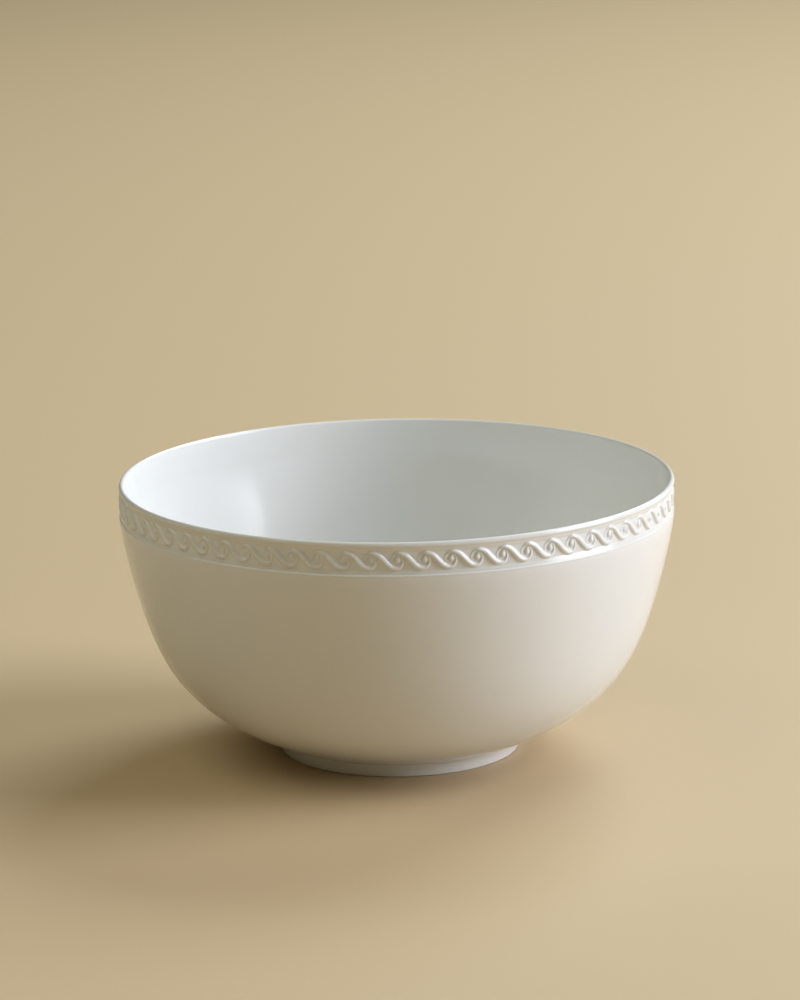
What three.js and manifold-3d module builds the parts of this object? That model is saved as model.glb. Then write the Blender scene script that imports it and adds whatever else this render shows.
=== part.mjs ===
// Porcelain serving bowl: a round bowl body on a luted foot ring, with a frieze of running scrolls
// applied under the lip as short sprig strips. Millimetres, +Z up, origin on the resting plane
// under the bowl's centre.
import * as THREE from 'three';
import { mergeVertices } from 'three/addons/utils/BufferGeometryUtils.js';
import Module from 'manifold-3d';

const wasm = await Module();
wasm.setup();

// ---- driving dimensions ----
const HEIGHT = 130;
const RIM_RADIUS = 130.2;          // outermost point of the rolled lip
const WALL_RADIUS = 130.05;        // top of the wall, where it turns upright
const WALL_TOP = 113;
const FOOT_HEIGHT = 6.4;
const SEAT_RADIUS = 58.7;          // where the wall springs from, just outside the foot ring
const LIP_THICKNESS = 2.5;
const BASE_THICKNESS = 4.5;
const FLOOR_Z = 10;                // inside floor, flat out to FLOOR_RADIUS
const FLOOR_RADIUS = 50;

// The wall is a shallow cone blended with a tight curl: shares and powers of the two.
const CONE_SHARE = 0.419;
const CONE_POWER = 1.26;
const CURL_POWER = 5.7;

const FRIEZE_BOTTOM = 115.3;
const FRIEZE_TOP = 127;
const GROUND_BOTTOM = 117;
const GROUND_TOP = 125.8;
const SHOULDER_RADIUS = 129.6;     // the frieze's edges, above its bead and below its lip
const GROUND_RADIUS = 129.05;      // its hollowed ground behind the scrolls
const BEAD_Z = 114.5;              // fine bead that closes the frieze below
const BEAD_PROUD = 0.1;

const FOOT_OUTER = 56.5;
const FOOT_INNER = 52.4;
const FOOT_FLARE = 1.5;            // how much wider the ring's outside is at its top
const FOOT_DRAFT = 0.9;            // how much narrower its inside is there
const FOOT_EDGE = 0.8;             // softened bottom edges beside the flat resting face

const SCROLLS = 68;
const SCROLLS_PER_STRIP = 4;
const EYE_Z = 121.4;               // height of the scrolls' eyes
const STRIP_GAP = 0.3;             // room for the slip between strip and ground
const RELIEF_RADIUS = 130.2;       // face of the scrolls
const FIRST_EYE_ANGLE = THREE.MathUtils.degToRad(5.1 - 90);

const SEGMENTS = SCROLLS;
const WALL_STEPS = 10;
const LIP_STEPS = 4;

// ---- materials ----
const glaze = (name, color, roughness) =>
  new THREE.MeshStandardMaterial({ name, color, roughness, metalness: 0 });
const bodyGlaze = glaze('glazed porcelain', 0xf1f0ea, 0.16);
const scrollGlaze = glaze('glazed porcelain, sprigs', 0xf3f2ec, 0.18);
const footGlaze = glaze('glazed porcelain, foot', 0xe9e8e2, 0.3);

// ---- bowl body ----
function wallRadius(z) {
  const depth = Math.max(0, (WALL_TOP - z) / (WALL_TOP - FOOT_HEIGHT));
  const rise = CONE_SHARE * (1 - depth ** CONE_POWER) + (1 - CONE_SHARE) * (1 - depth ** CURL_POWER);
  return SEAT_RADIUS + (WALL_RADIUS - SEAT_RADIUS) * rise;
}

// The inside follows the outside at a wall thickness that grows from the lip to the base.
function insidePoint(z) {
  const step = 0.01;
  const slope = (wallRadius(z + step) - wallRadius(z)) / step;
  const thickness = THREE.MathUtils.mapLinear(z, HEIGHT, FOOT_HEIGHT, LIP_THICKNESS, BASE_THICKNESS);
  const inward = thickness / Math.hypot(1, slope);
  return new THREE.Vector2(wallRadius(z) - inward, z + slope * inward);
}

function makeBody() {
  const levels = [];
  for (let i = 0; i <= WALL_STEPS; i += 1) {
    levels.push(FOOT_HEIGHT + (WALL_TOP - FOOT_HEIGHT) * (i / WALL_STEPS) ** 1.6);
  }
  const lipCurve = new THREE.EllipseCurve(RIM_RADIUS - LIP_THICKNESS / 2, HEIGHT - LIP_THICKNESS / 2,
    LIP_THICKNESS / 2, LIP_THICKNESS / 2, 0, Math.PI);
  const profile = [
    new THREE.Vector2(0, FOOT_HEIGHT),
    ...levels.map((z) => new THREE.Vector2(wallRadius(z), z)),
    new THREE.Vector2(WALL_RADIUS + BEAD_PROUD, BEAD_Z),
    new THREE.Vector2(SHOULDER_RADIUS, FRIEZE_BOTTOM),
    new THREE.Vector2(GROUND_RADIUS, GROUND_BOTTOM),
    new THREE.Vector2(GROUND_RADIUS, GROUND_TOP),
    new THREE.Vector2(SHOULDER_RADIUS, FRIEZE_TOP),
    ...lipCurve.getPoints(LIP_STEPS),
    ...levels.slice(1).reverse().map(insidePoint),
    new THREE.Vector2(FLOOR_RADIUS, FLOOR_Z),
    new THREE.Vector2(0, FLOOR_Z),
  ];
  const mesh = new THREE.Mesh(upright(new THREE.LatheGeometry(profile, SEGMENTS)), bodyGlaze);
  mesh.name = 'bowl_body';
  return mesh;
}

// A lathe turns about Y, so its geometry is stood up on Z.
function upright(geometry) {
  return geometry.rotateX(Math.PI / 2);
}

// ---- foot ring ----
function makeFoot() {
  const profile = [
    new THREE.Vector2(FOOT_INNER + FOOT_EDGE, 0),
    new THREE.Vector2(FOOT_OUTER - FOOT_EDGE, 0),
    new THREE.Vector2(FOOT_OUTER, FOOT_EDGE),
    new THREE.Vector2(FOOT_OUTER + FOOT_FLARE, FOOT_HEIGHT),
    new THREE.Vector2(FOOT_INNER - FOOT_DRAFT, FOOT_HEIGHT),
    new THREE.Vector2(FOOT_INNER, FOOT_EDGE),
    new THREE.Vector2(FOOT_INNER + FOOT_EDGE, 0),
  ];
  const mesh = new THREE.Mesh(upright(new THREE.LatheGeometry(profile, SEGMENTS)), footGlaze);
  mesh.name = 'foot_ring';
  return mesh;
}

// ---- scroll frieze ----
// One running scroll, drawn flat about its own eye: [across, up, half width]. Its thin tail starts
// beside the eye of the scroll before, arches over that eye, dives along the diagonal, passes
// under its own eye and hooks back over it into the round bulb.
const PITCH = (2 * Math.PI * RELIEF_RADIUS) / SCROLLS;
const TAIL_START = [-PITCH - 2.2, -0.8, 0.3];
const TAIL_ROOT = [-PITCH - 2.0, -2.7, 0.45];
const SCROLL = [
  [-PITCH - 2.2, -0.5, 0.4],
  [-PITCH - 2.1, 1.3, 0.45],
  [-PITCH - 1.2, 2.75, 0.5],
  [-PITCH + 0.3, 3.6, 0.65],
  [-PITCH + 2.0, 3.5, 0.9],
  [-PITCH + 4.1, 2.45, 1.15],
  [-PITCH + 7.7, -1.35, 1.2],
  [-PITCH + 9.4, -2.7, 1.1],
  [-0.7, -3.25, 0.9],
  [1.0, -3.05, 0.75],
  [2.3, -1.9, 0.65],
  [2.75, -0.1, 0.6],
  [2.2, 1.45, 0.45],
  [1.3, 2.05, 0.4],
  [0.5, 1.4, 0.9],
  [0.5, 0.1, 1.15],
];

// A ribbon of varying width along a chain of [x, y, half width] points, extruded to the relief.
function ribbon(chain, depth) {
  const left = [];
  const right = [];
  chain.forEach(([x, y, half], i) => {
    const before = chain[Math.max(i - 1, 0)];
    const after = chain[Math.min(i + 1, chain.length - 1)];
    const along = new THREE.Vector2(after[0] - before[0], after[1] - before[1]).normalize();
    left.push(new THREE.Vector2(x - along.y * half, y + along.x * half));
    right.push(new THREE.Vector2(x + along.y * half, y - along.x * half));
  });
  const outline = new THREE.Shape([...right, ...left.reverse()]);
  return new THREE.ExtrudeGeometry(outline, { depth, bevelEnabled: false });
}

function toSolid(geometry) {
  const bare = geometry.clone();
  bare.deleteAttribute('normal');
  bare.deleteAttribute('uv');
  const merged = mergeVertices(bare);
  return new wasm.Manifold(new wasm.Mesh({
    numProp: 3,
    vertProperties: new Float32Array(merged.attributes.position.array),
    triVerts: new Uint32Array(merged.index.array),
  }));
}

function toGeometry(solid) {
  const { vertProperties, triVerts } = solid.getMesh();
  const geometry = new THREE.BufferGeometry();
  geometry.setAttribute('position', new THREE.BufferAttribute(vertProperties, 3));
  geometry.setIndex(new THREE.BufferAttribute(triVerts, 1));
  return geometry;
}

// Wraps a flat drawing (x across, y up, z out) round the bowl, with x = 0 on the +X side.
function wrap(geometry, backRadius) {
  const position = geometry.attributes.position;
  for (let i = 0; i < position.count; i += 1) {
    const angle = position.getX(i) / RELIEF_RADIUS;
    const radius = backRadius + position.getZ(i);
    position.setXYZ(i, radius * Math.cos(angle), radius * Math.sin(angle), position.getY(i));
  }
  geometry.computeVertexNormals();
  return geometry;
}

function makeStripGeometry() {
  const backRadius = GROUND_RADIUS + STRIP_GAP;
  const depth = RELIEF_RADIUS - backRadius;
  let strip = null;
  for (let i = 0; i < SCROLLS_PER_STRIP; i += 1) {
    const start = i === 0 ? TAIL_START : TAIL_ROOT;
    const scroll = ribbon([start, ...SCROLL], depth);
    scroll.translate(i * PITCH, 0, 0);
    strip = strip ? strip.add(toSolid(scroll)) : toSolid(scroll);
  }
  return wrap(toGeometry(strip), backRadius);
}

function makeStrips() {
  const strips = [];
  const geometry = makeStripGeometry();
  const count = SCROLLS / SCROLLS_PER_STRIP;
  for (let i = 0; i < count; i += 1) {
    const mesh = new THREE.Mesh(geometry, scrollGlaze);
    mesh.name = `scroll_strip_${String(i + 1).padStart(2, '0')}`;
    mesh.position.z = EYE_Z;
    mesh.rotation.z = FIRST_EYE_ANGLE + (i / count) * 2 * Math.PI;
    strips.push(mesh);
  }
  return strips;
}

// ---- assembly ----
const bowl = new THREE.Group();
bowl.add(makeBody(), makeFoot(), ...makeStrips());

export default bowl;
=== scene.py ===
"""Looks of a porcelain serving bowl: fine glazed body, foot ring and scroll frieze around its CAD frame."""
import math

import bpy
import numpy as np
from mathutils import Matrix, Vector


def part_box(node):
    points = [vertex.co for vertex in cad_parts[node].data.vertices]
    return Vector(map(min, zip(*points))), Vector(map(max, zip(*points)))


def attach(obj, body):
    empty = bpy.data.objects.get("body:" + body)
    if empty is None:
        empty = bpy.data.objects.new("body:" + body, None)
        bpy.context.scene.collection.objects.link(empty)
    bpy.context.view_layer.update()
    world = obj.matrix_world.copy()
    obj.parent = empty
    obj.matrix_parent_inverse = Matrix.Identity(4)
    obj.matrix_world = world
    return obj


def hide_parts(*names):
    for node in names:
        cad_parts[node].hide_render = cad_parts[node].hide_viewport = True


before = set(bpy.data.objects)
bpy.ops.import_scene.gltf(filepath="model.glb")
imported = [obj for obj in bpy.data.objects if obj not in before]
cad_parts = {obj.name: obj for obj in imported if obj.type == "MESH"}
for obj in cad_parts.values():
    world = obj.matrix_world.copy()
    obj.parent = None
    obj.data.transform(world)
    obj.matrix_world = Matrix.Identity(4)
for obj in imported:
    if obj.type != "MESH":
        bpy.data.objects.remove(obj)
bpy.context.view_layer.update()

# ---- sizes, in millimetres; the outer ones come from the frame ----
MM = 0.001
body_low, body_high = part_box("bowl_body")
_, foot_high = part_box("foot_ring")
HEIGHT = body_high.z / MM
FOOT_HEIGHT = body_low.z / MM
RIM_RADIUS = body_high.x / MM
WALL_RADIUS = RIM_RADIUS - 0.15
WALL_TOP = 113.0
RING_TOP = foot_high.x / MM
SEAT_RADIUS = RING_TOP + 0.7
LIP_THICKNESS = 2.5
LIP_DROP = 2.0
BASE_THICKNESS = 4.5
FLOOR_Z = 9.8
FLOOR_EASE = 1.2

CONE_SHARE = 0.419
CONE_POWER = 1.26
CURL_POWER = 5.7

FRIEZE_TOP = 127.0
GROUND_RADIUS = 129.05
SHOULDER_RISE = 0.55
SHOULDER_START = 0.6  # the lower shoulder falls away between these heights above the bead
SHOULDER_END = 2.9
SHOULDER_HEIGHT = 2.0  # the upper one rises over this height below FRIEZE_TOP
STEP_IN = 0.8  # height over which the wall steps in above the bead
LIP_OVERLAP = 0.2  # the lip steps out from this far below FRIEZE_TOP ...
LIP_STEP = 1.4  # ... to this far above it
BEAD_Z = 114.6
BEAD_RADIUS = 0.5
BEAD_PROUD = 0.1

FOOT_INNER = RING_TOP - 5.6
FOOT_OUTER = RING_TOP - 1.5
FOOT_EDGE = 0.9

BODY_SEGMENTS = 288
FOOT_SEGMENTS = 272
SEAT_STEPS = 12
WALL_STEPS = 80
FRIEZE_STEPS = 110
LIP_STEPS = 24
INSIDE_STEPS = 90
FLOOR_STEPS = 24
EDGE_STEPS = 10
CROWDING = 1.5  # power that crowds the wall's rings towards its curl
FLOOR_FALL = 0.38  # slope that carries the inner wall down under the eased floor

SCROLLS = 68
STRIPS = sorted(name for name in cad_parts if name.startswith("scroll_strip"))
SCROLLS_PER_STRIP = SCROLLS // len(STRIPS)
EYE_Z = 121.4
FIRST_EYE_ANGLE = math.radians(5.1 - 90.0)
RELIEF = 1.2
PITCH = 2 * math.pi * GROUND_RADIUS / SCROLLS


# ---- shapes shared by the body and its relief ----
def smooth_step(value, start, end):
    share = min(1.0, max(0.0, (value - start) / (end - start)))
    return share * share * (3 - 2 * share)


def wall_radius(z):
    """Outer radius of the wall: a shallow cone blended with a tight curl, upright from WALL_TOP."""
    depth = max(0.0, (WALL_TOP - z) / (WALL_TOP - FOOT_HEIGHT))
    rise = CONE_SHARE * (1 - depth**CONE_POWER) + (1 - CONE_SHARE) * (1 - depth**CURL_POWER)
    return SEAT_RADIUS + (WALL_RADIUS - SEAT_RADIUS) * rise


def frieze_ground(z):
    """The ground behind the scrolls: a shallow hollow that rises to a shoulder below and above them."""
    low = 1 - smooth_step(z, BEAD_Z + SHOULDER_START, BEAD_Z + SHOULDER_END)
    high = smooth_step(z, FRIEZE_TOP - SHOULDER_HEIGHT, FRIEZE_TOP)
    return GROUND_RADIUS + SHOULDER_RISE * (low + high)


def outer_radius(z):
    """The wall with its fine bead, the frieze's ground above it and the lip that stands over that."""
    bead = BEAD_PROUD * math.exp(-(((z - BEAD_Z) / BEAD_RADIUS) ** 2))
    inward = smooth_step(z, BEAD_Z, BEAD_Z + STEP_IN)
    recess = inward * (1 - smooth_step(z, FRIEZE_TOP - LIP_OVERLAP, FRIEZE_TOP + LIP_STEP))
    envelope = wall_radius(z) + (RIM_RADIUS - WALL_RADIUS) * smooth_step(z, BEAD_Z, FRIEZE_TOP) + bead
    return envelope - recess * (envelope - frieze_ground(z))


def inside_point(z):
    """The point of the inner wall that lies square across the wall from the outer point at z."""
    step = 0.01
    slope = (wall_radius(z + step) - wall_radius(z)) / step
    share = (HEIGHT - z) / (HEIGHT - FOOT_HEIGHT)
    thickness = LIP_THICKNESS + (BASE_THICKNESS - LIP_THICKNESS) * share
    inward = thickness / math.hypot(1, slope)
    return wall_radius(z) - inward, z + slope * inward


def eased_floor(z):
    """Rounds the inner wall into the flat inner floor instead of meeting it at a corner."""
    return FLOOR_Z + FLOOR_EASE * math.log1p(math.exp((z - FLOOR_Z) / FLOOR_EASE))


def lerp(start, end, share):
    return start + (end - start) * share


# ---- mesh helpers ----
def mesh_object(name, vertices, faces, crease=50.0):
    """A smooth-shaded object from vertices in millimetres; edges sharper than crease stay crisp."""
    mesh = bpy.data.meshes.new(name)
    mesh.from_pydata((np.asarray(vertices) * MM).tolist(), [], faces)
    mesh.polygons.foreach_set("use_smooth", [True] * len(mesh.polygons))
    mesh.set_sharp_from_angle(angle=math.radians(crease))
    mesh.validate()
    obj = bpy.data.objects.new(name, mesh)
    bpy.context.scene.collection.objects.link(obj)
    return obj


def lathe(name, profile, segments):
    """Turns a profile of (radius, z) about the axis. It closes on itself, or has both ends on the axis."""
    open_ends = profile[0][0] == 0
    rings = profile[1:-1] if open_ends else profile
    angles = np.arange(segments) * (2 * math.pi / segments)
    ring_points = np.array(rings)
    vertices = np.empty((len(rings), segments, 3))
    vertices[:, :, 0] = ring_points[:, :1] * np.cos(angles)
    vertices[:, :, 1] = ring_points[:, :1] * np.sin(angles)
    vertices[:, :, 2] = ring_points[:, 1:]
    vertices = vertices.reshape(-1, 3)
    faces = []
    ring_pairs = [(i, i + 1) for i in range(len(rings) - 1)]
    if not open_ends:
        ring_pairs.append((len(rings) - 1, 0))
    for low, high in ring_pairs:
        for i in range(segments):
            j = (i + 1) % segments
            faces.append((low * segments + i, low * segments + j, high * segments + j, high * segments + i))
    if open_ends:
        first, last = len(vertices), len(vertices) + 1
        vertices = np.vstack([vertices, [0, 0, profile[0][1]], [0, 0, profile[-1][1]]])
        top = (len(rings) - 1) * segments
        for i in range(segments):
            j = (i + 1) % segments
            faces.append((first, j, i))
            faces.append((last, top + i, top + j))
    return mesh_object(name, vertices, faces)


# ---- bowl body ----
def body_profile():
    """From the axis under the base, out along the seat, up the wall, over the lip and back down inside."""
    seat = [(SEAT_RADIUS * share, FOOT_HEIGHT) for share in np.linspace(0, 1, SEAT_STEPS)]
    wall_z = [lerp(FOOT_HEIGHT, WALL_TOP, share**CROWDING) for share in np.linspace(0, 1, WALL_STEPS)[1:]]
    frieze_z = np.linspace(WALL_TOP, HEIGHT - LIP_DROP, FRIEZE_STEPS)[1:]
    outside = [(outer_radius(z), z) for z in [*wall_z, *frieze_z]]
    half = LIP_THICKNESS / 2
    lip = []
    for turn in np.linspace(0, math.pi, LIP_STEPS)[1:]:
        drop = LIP_DROP if turn < math.pi / 2 else half
        lip.append((RIM_RADIUS - half + half * math.cos(turn), HEIGHT - drop + drop * math.sin(turn)))
    inner_top = HEIGHT - LIP_THICKNESS
    inside = []
    for share in np.linspace(0, 1, INSIDE_STEPS):
        radius, z = inside_point(lerp(inner_top, FOOT_HEIGHT, 1 - (1 - share) ** CROWDING))
        inside.append((radius, eased_floor(z)))
    base_radius, base_z = inside_point(FOOT_HEIGHT)
    floor = []
    for radius in np.linspace(base_radius, 0, FLOOR_STEPS)[1:]:
        floor.append((radius, eased_floor(base_z - FLOOR_FALL * (base_radius - radius))))
    return [*seat, *outside, *lip, *inside, *floor]


# ---- foot ring ----
def foot_profile():
    """A closed section: flat unglazed rest, rounded edges, and a glaze fillet against the body."""
    section = []
    for turn in np.linspace(-90, 0, EDGE_STEPS):
        angle = math.radians(turn)
        across = FOOT_OUTER - FOOT_EDGE + FOOT_EDGE * math.cos(angle)
        section.append((across, FOOT_EDGE + FOOT_EDGE * math.sin(angle)))
    for share in np.linspace(0, 1, EDGE_STEPS)[1:]:
        section.append((lerp(FOOT_OUTER, RING_TOP, share**1.6), lerp(FOOT_EDGE, FOOT_HEIGHT - 0.5, share)))
    # the fillet of glaze outside, the top buried in the body, and the fillet inside
    section += [
        (RING_TOP + 0.45, FOOT_HEIGHT - 0.05),
        (SEAT_RADIUS + 0.35, FOOT_HEIGHT + 0.2),
        (SEAT_RADIUS - 0.8, FOOT_HEIGHT + 0.45),
        (FOOT_INNER - 1.2, FOOT_HEIGHT + 0.45),
        (FOOT_INNER - 2.2, FOOT_HEIGHT + 0.02),
        (FOOT_INNER - 1.2, FOOT_HEIGHT - 0.35),
        (FOOT_INNER - 0.6, FOOT_HEIGHT - 1.1),
    ]
    for turn in np.linspace(180, 270, EDGE_STEPS):
        angle = math.radians(turn)
        across = FOOT_INNER + FOOT_EDGE + FOOT_EDGE * math.cos(angle)
        section.append((across, FOOT_EDGE + FOOT_EDGE * math.sin(angle)))
    return section


# ---- scroll frieze ----
# One scroll about its own eye: (across, up, half width, height of the ridge as a share of RELIEF).
SCROLL = [
    (-PITCH - 1.6, -2.2, 0.30, 0.08),
    (-PITCH - 2.2, -0.5, 0.40, 0.18),
    (-PITCH - 2.1, 1.3, 0.45, 0.24),
    (-PITCH - 1.2, 2.75, 0.50, 0.34),
    (-PITCH + 0.3, 3.65, 0.72, 0.70),
    (-PITCH + 2.0, 3.5, 1.05, 0.95),
    (-PITCH + 4.1, 2.45, 1.35, 1.00),
    (-PITCH + 6.0, 0.55, 1.45, 1.00),
    (-PITCH + 7.7, -1.35, 1.45, 1.00),
    (-PITCH + 9.4, -2.7, 1.30, 0.98),
    (-0.7, -3.25, 1.05, 0.85),
    (1.0, -3.05, 0.85, 0.66),
    (2.25, -1.9, 0.75, 0.52),
    (2.75, -0.1, 0.72, 0.46),
    (2.3, 1.6, 0.68, 0.44),
    (1.4, 2.25, 0.68, 0.44),
    (0.7, 1.6, 0.90, 0.54),
    (0.55, 0.35, 1.40, 0.70),
]
SCROLL_LEFT = -PITCH - 2.2
SCROLL_RIGHT = 2.7
SCROLL_LOW = -3.3
SCROLL_HIGH = 3.5
MARGIN = 2.0
GRID = 0.18
GLAZE_SOFTENING = 0.24
GROUND_DIP = 0.03
SKIRT = 0.35


def spline(points, per_span):
    """Catmull-Rom curve through rows of numbers, with per_span samples between each pair."""
    rows = np.array([points[0], *points, points[-1]])
    shares = np.linspace(0, 1, per_span, endpoint=False)[:, None]
    spans = []
    for a, b, c, d in zip(rows, rows[1:], rows[2:], rows[3:]):
        spans.append(
            0.5 * (2 * b + (c - a) * shares + (2 * a - 5 * b + 4 * c - d) * shares**2
                   + (3 * b - a - 3 * c + d) * shares**3)
        )
    return np.vstack([*spans, rows[-1:]])


def soften(heights, sigma):
    """Blurs a height field along both axes, as a coat of glaze rounds what it covers."""
    reach = int(math.ceil(3 * sigma))
    offsets = np.arange(-reach, reach + 1)
    kernel = np.exp(-0.5 * (offsets / sigma) ** 2)
    kernel /= kernel.sum()
    for axis in (0, 1):
        heights = np.apply_along_axis(lambda line: np.convolve(line, kernel, mode="same"), axis, heights)
    return heights


def strip_heights():
    """Height field of one strip of scrolls above the ground, in millimetres, on a flat grid."""
    across = np.arange(SCROLL_LEFT - MARGIN, (SCROLLS_PER_STRIP - 1) * PITCH + SCROLL_RIGHT + MARGIN, GRID)
    up = np.arange(SCROLL_LOW - MARGIN, SCROLL_HIGH + MARGIN, GRID)
    heights = np.zeros((len(up), len(across)))
    curve = spline(SCROLL, 10)
    for scroll in range(SCROLLS_PER_STRIP):
        for x, y, half, share in curve:
            distance2 = (across[None, :] - x - scroll * PITCH) ** 2 + (up[:, None] - y) ** 2
            ridge = RELIEF * share * np.clip(1 - distance2 / half**2, 0, 1) ** 0.7
            heights = np.maximum(heights, ridge)
    return across, up, soften(heights, GLAZE_SOFTENING / GRID) - GROUND_DIP


def without_pinches(cells):
    """Fills one cell wherever two kept cells touch only at a corner, so the outline stays a clean edge."""
    while True:
        a, b, c, d = cells[:-1, :-1], cells[:-1, 1:], cells[1:, :-1], cells[1:, 1:]
        rising = a & d & ~b & ~c
        falling = b & c & ~a & ~d
        if not rising.any() and not falling.any():
            return cells
        cells[:-1, 1:] |= rising
        cells[:-1, :-1] |= falling


def strip_mesh():
    """Closed relief of one strip: the visible face, a back buried in the wall, and sides between them."""
    across, up, heights = strip_heights()
    raised = heights > -0.8 * GROUND_DIP
    cells = raised[:-1, :-1] | raised[:-1, 1:] | raised[1:, :-1] | raised[1:, 1:]
    cells = without_pinches(cells)
    columns = len(across)
    index = np.arange(heights.size).reshape(heights.shape)
    corners = (index[:-1, :-1], index[:-1, 1:], index[1:, 1:], index[1:, :-1])
    front = np.stack([corner[cells] for corner in corners], axis=1)
    back = front[:, ::-1] + heights.size
    sides = []
    padded = np.pad(cells, 1)
    neighbours = (
        (padded[:-2, 1:-1], corners[0], corners[1]),
        (padded[1:-1, 2:], corners[1], corners[2]),
        (padded[2:, 1:-1], corners[2], corners[3]),
        (padded[1:-1, :-2], corners[3], corners[0]),
    )
    for filled, start, end in neighbours:
        rim = cells & ~filled
        first, last = start[rim], end[rim]
        sides.append(np.stack([last, first, first + heights.size, last + heights.size], axis=1))
    faces = np.vstack([front, back, *sides])
    used, faces = np.unique(faces, return_inverse=True)
    faces = faces.reshape(-1, 4)
    level = np.concatenate([heights.ravel(), np.full(heights.size, -SKIRT)])[used]
    column = (used % heights.size) % columns
    row = (used % heights.size) // columns
    angle = across[column] / GROUND_RADIUS
    height = up[row] + EYE_Z
    radius = np.array([frieze_ground(z) for z in height]) + level
    vertices = np.stack([radius * np.cos(angle), radius * np.sin(angle), height], axis=1)
    obj = mesh_object("relief", vertices, faces.tolist())
    # depth below the ridge tops, which the relief material turns into painted shade and a pooled-glaze tint
    # in the hollows
    depth = obj.data.attributes.new("glaze_pool_and_shade", "FLOAT", "POINT")
    depth.data.foreach_set("value", np.clip(1 - level / RELIEF, 0, 1).astype(np.float32))
    return obj


# ---- materials ----
def new_material(name):
    material = bpy.data.materials.new(name)
    material.use_nodes = True
    tree = material.node_tree
    return material, tree, tree.nodes["Principled BSDF"]


def add_node(tree, kind, **values):
    """Adds a node; values name its inputs, or its own settings where it has no such input."""
    node = tree.nodes.new(kind)
    for key, value in values.items():
        socket = node.inputs.get(key.replace("_", " "))
        if socket is None:
            setattr(node, key, value)
        else:
            socket.default_value = value
    return node


def noise(tree, coordinates, scale, detail=2.0):
    """Noise of about one feature per 1 / scale metres; returns its value from 0 to 1."""
    node = add_node(tree, "ShaderNodeTexNoise", Scale=scale, Detail=detail)
    tree.links.new(coordinates, node.inputs["Vector"])
    return node.outputs["Fac"]


def remap(tree, value, low, high, start=0.3, end=0.7):
    """Maps value from start..end to low..high and clamps it."""
    node = tree.nodes.new("ShaderNodeMapRange")
    for socket, number in (("From Min", start), ("From Max", end), ("To Min", low), ("To Max", high)):
        node.inputs[socket].default_value = number
    tree.links.new(value, node.inputs["Value"])
    return node.outputs["Result"]


def mix_colour(tree, share, first, second):
    """Mixes two colours; each is a colour socket or a plain RGBA value."""
    node = add_node(tree, "ShaderNodeMix", data_type="RGBA")
    inputs = [socket for socket in node.inputs if socket.type == "RGBA"]
    tree.links.new(share, node.inputs["Factor"])
    for socket, colour in zip(inputs, (first, second)):
        if isinstance(colour, bpy.types.NodeSocket):
            tree.links.new(colour, socket)
        else:
            socket.default_value = colour
    return next(socket for socket in node.outputs if socket.type == "RGBA")


def bump(tree, height, strength, distance, normal=None):
    node = add_node(tree, "ShaderNodeBump", Strength=strength, Distance=distance)
    tree.links.new(height, node.inputs["Height"])
    if normal is not None:
        tree.links.new(normal, node.inputs["Normal"])
    return node.outputs["Normal"]


WARM_WHITE = (0.81, 0.81, 0.79, 1.0)
COOL_WHITE = (0.795, 0.81, 0.805, 1.0)
# painted shade with a pooled-glaze tint: a darker, greener white for the hollows of the relief
POOLED_GLAZE_AND_SHADE = (0.72, 0.76, 0.74, 1.0)
BISQUE = (0.70, 0.66, 0.58, 1.0)
DARK_BISQUE = (0.62, 0.57, 0.48, 1.0)
SPECK = (0.66, 0.63, 0.57, 1.0)
PALE_FLOOR = (0.60, 0.46, 0.28, 1.0)


def glaze_colour(tree, place):
    """White porcelain under clear glaze, drifting between a warm and a cool white, with rare fine specks."""
    drift = remap(tree, noise(tree, place, 9.0, 3.0), 0.0, 1.0)
    white = mix_colour(tree, drift, WARM_WHITE, COOL_WHITE)
    cells = add_node(tree, "ShaderNodeTexVoronoi", Scale=210.0)
    tree.links.new(place, cells.inputs["Vector"])
    speck = remap(tree, cells.outputs["Distance"], 0.35, 0.0, 0.02, 0.05)
    return mix_colour(tree, speck, white, SPECK)


def finish_glaze(tree, shader, place, colour):
    """Gloss of a fired glaze: slight smears in the roughness, fine orange peel and a slow waviness."""
    tree.links.new(colour, shader.inputs["Base Color"])
    smears = remap(tree, noise(tree, place, 30.0, 4.0), 0.12, 0.20)
    tree.links.new(smears, shader.inputs["Roughness"])
    waves = bump(tree, noise(tree, place, 28.0, 1.0), 0.25, 0.0008)
    peel = bump(tree, noise(tree, place, 620.0, 2.0), 0.10, 0.00006, waves)
    tree.links.new(peel, shader.inputs["Normal"])
    shader.inputs["IOR"].default_value = 1.5
    shader.inputs["Subsurface Weight"].default_value = 0.12
    shader.inputs["Subsurface Radius"].default_value = (1.0, 0.85, 0.7)
    shader.inputs["Subsurface Scale"].default_value = 0.0015


def glaze_material():
    material, tree, shader = new_material("porcelain_glaze")
    place = tree.nodes.new("ShaderNodeTexCoord").outputs["Object"]
    finish_glaze(tree, shader, place, glaze_colour(tree, place))
    return material


def relief_material():
    """The same glaze, darker and a touch greener in the low ground between the ridges of the relief: painted
    shade in the hollows, together with a pooled-glaze tint.
    """
    material, tree, shader = new_material("porcelain_glaze_relief")
    place = tree.nodes.new("ShaderNodeTexCoord").outputs["Object"]
    hollow_depth = add_node(tree, "ShaderNodeAttribute", attribute_name="glaze_pool_and_shade").outputs["Fac"]
    # painted shade: the deeper the ground lies between the ridges, the darker and greener it is painted,
    # along with a pooled-glaze tint
    pool_and_shade_share = remap(tree, hollow_depth, 0.0, 0.35, 0.4, 1.0)
    colour = mix_colour(tree, pool_and_shade_share, glaze_colour(tree, place), POOLED_GLAZE_AND_SHADE)
    finish_glaze(tree, shader, place, colour)
    return material


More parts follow.
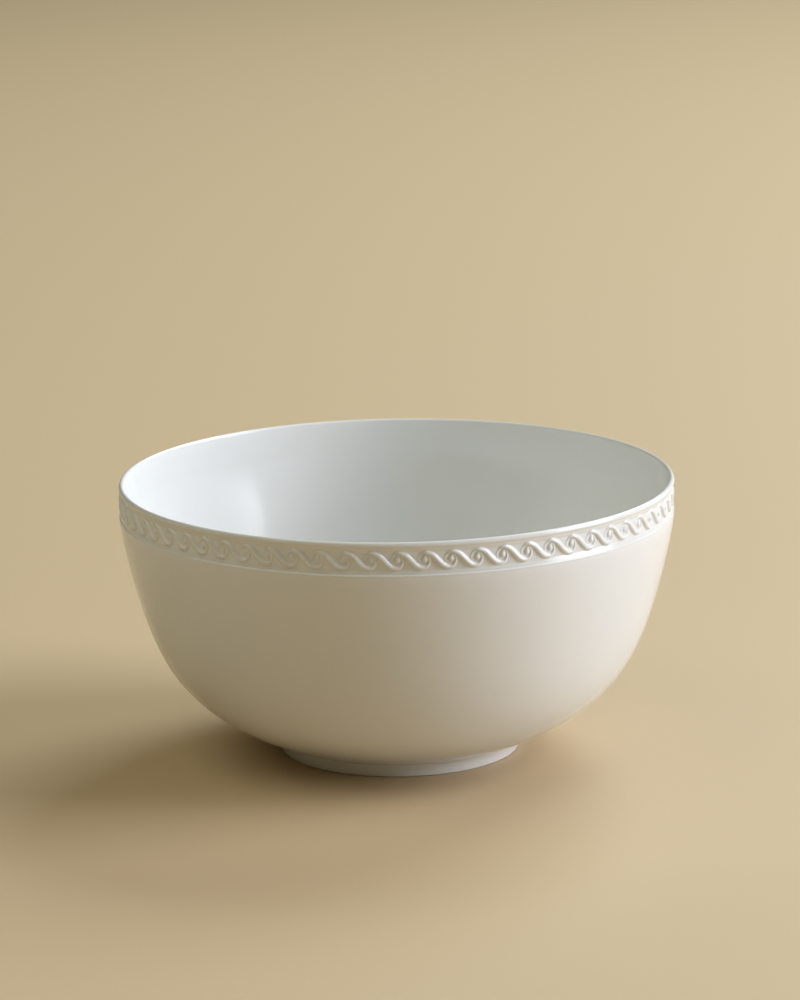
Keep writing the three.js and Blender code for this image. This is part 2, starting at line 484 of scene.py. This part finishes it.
def foot_material():
    """Glaze wiped off the resting edge, where the dry, slightly sandy body shows."""
    material, tree, shader = new_material("porcelain_foot")
    place = tree.nodes.new("ShaderNodeTexCoord").outputs["Object"]
    height = tree.nodes.new("ShaderNodeSeparateXYZ")
    tree.links.new(place, height.inputs["Vector"])
    ragged = add_node(tree, "ShaderNodeMath", operation="MULTIPLY_ADD")
    tree.links.new(noise(tree, place, 160.0, 3.0), ragged.inputs[0])
    ragged.inputs[1].default_value = -0.5 * MM
    tree.links.new(height.outputs["Z"], ragged.inputs[2])
    glazed = remap(tree, ragged.outputs["Value"], 0.0, 1.0, 0.18 * MM, 0.32 * MM)
    grain = noise(tree, place, 2200.0, 3.0)
    bisque = mix_colour(tree, remap(tree, grain, 0.0, 1.0), BISQUE, DARK_BISQUE)
    colour = mix_colour(tree, glazed, bisque, glaze_colour(tree, place))
    tree.links.new(colour, shader.inputs["Base Color"])
    tree.links.new(remap(tree, glazed, 0.75, 0.2, 0.0, 1.0), shader.inputs["Roughness"])
    tree.links.new(bump(tree, grain, 0.25, 0.0001), shader.inputs["Normal"])
    shader.inputs["IOR"].default_value = 1.5
    return material


# ---- the bowl ----
def place_piece(obj, node):
    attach(obj, "root")
    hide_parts(node)


body = lathe("glazed_body", body_profile(), BODY_SEGMENTS)
body.data.materials.append(glaze_material())
place_piece(body, "bowl_body")

foot = lathe("luted_foot_ring", foot_profile(), FOOT_SEGMENTS)
foot.data.materials.append(foot_material())
place_piece(foot, "foot_ring")

relief = strip_mesh()
relief.data.materials.append(relief_material())
for number, node in enumerate(STRIPS):
    strip = bpy.data.objects.new(node + "_relief", relief.data.copy())
    bpy.context.scene.collection.objects.link(strip)
    turn = FIRST_EYE_ANGLE + number * 2 * math.pi / len(STRIPS)
    strip.data.transform(Matrix.Rotation(turn, 4, "Z"))
    place_piece(strip, node)
bpy.data.objects.remove(relief)


# ---- stage: floor, light and camera ----
def make_floor():
    mesh = bpy.data.meshes.new("floor")
    half = 6.0
    corners = [(-half, -half, 0), (half, -half, 0), (half, half, 0), (-half, half, 0)]
    mesh.from_pydata(corners, [], [(0, 1, 2, 3)])
    floor = bpy.data.objects.new("floor", mesh)
    bpy.context.scene.collection.objects.link(floor)
    material, _, shader = new_material("pale_floor")
    shader.inputs["Base Color"].default_value = PALE_FLOOR
    shader.inputs["Roughness"].default_value = 0.6
    mesh.materials.append(material)


def area_light(name, bearing, elevation, distance, size, power, colour):
    """A soft rectangular light aimed at the bowl; bearing and elevation are degrees seen from the bowl."""
    target = Vector((0.0, 0.0, 0.06))
    turn = math.radians(bearing)
    rise = math.radians(elevation)
    away = Vector((math.cos(rise) * math.cos(turn), math.cos(rise) * math.sin(turn), math.sin(rise)))
    data = bpy.data.lights.new(name, "AREA")
    data.shape = "RECTANGLE"
    data.size, data.size_y = size
    data.energy = power
    data.color = colour
    light = bpy.data.objects.new(name, data)
    light.location = target + away * distance
    light.rotation_euler = away.to_track_quat("Z", "Y").to_euler()
    bpy.context.scene.collection.objects.link(light)


def make_world():
    world = bpy.data.worlds.new("room")
    world.use_nodes = True
    background = world.node_tree.nodes["Background"]
    background.inputs["Color"].default_value = (0.02, 0.015, 0.01, 1.0)
    background.inputs["Strength"].default_value = 1.0
    bpy.context.scene.world = world


def make_camera():
    """A long lens in front of the bowl, looking down about 13 degrees and level to within a degree."""
    data = bpy.data.cameras.new("camera")
    data.sensor_width = 36.0
    data.lens = 163.8
    camera = bpy.data.objects.new("camera", data)
    camera.location = (0.0016, -2.08, 0.6097)
    tilt = math.radians(90 - 13.28)
    roll = math.radians(-0.88)
    camera.matrix_world = (
        Matrix.Translation(camera.location) @ Matrix.Rotation(tilt, 4, "X") @ Matrix.Rotation(roll, 4, "Z")
    )
    bpy.context.scene.collection.objects.link(camera)
    bpy.context.scene.camera = camera


make_floor()
area_light("window_low", -9, 11, 4.0, (2.2, 1.4), 68.0, (0.88, 0.90, 0.96))
area_light("window_high", -2, 32, 4.0, (2.3, 2.2), 120.0, (0.85, 0.89, 1.0))
area_light("far_window", 60, 38, 4.0, (2.0, 1.8), 84.0, (0.88, 0.98, 1.0))
area_light("left_high", 195, 56, 4.0, (4.0, 3.0), 44.0, (0.98, 0.97, 0.80))
area_light("front_wall", 245, 10, 4.0, (3.6, 1.2), 6.0, (1.0, 0.88, 0.55))
area_light("ceiling", 0, 90, 2.6, (5.0, 5.0), 18.0, (1.0, 0.92, 0.70))
make_world()
make_camera()
bpy.context.scene.view_settings.view_transform = "Standard"
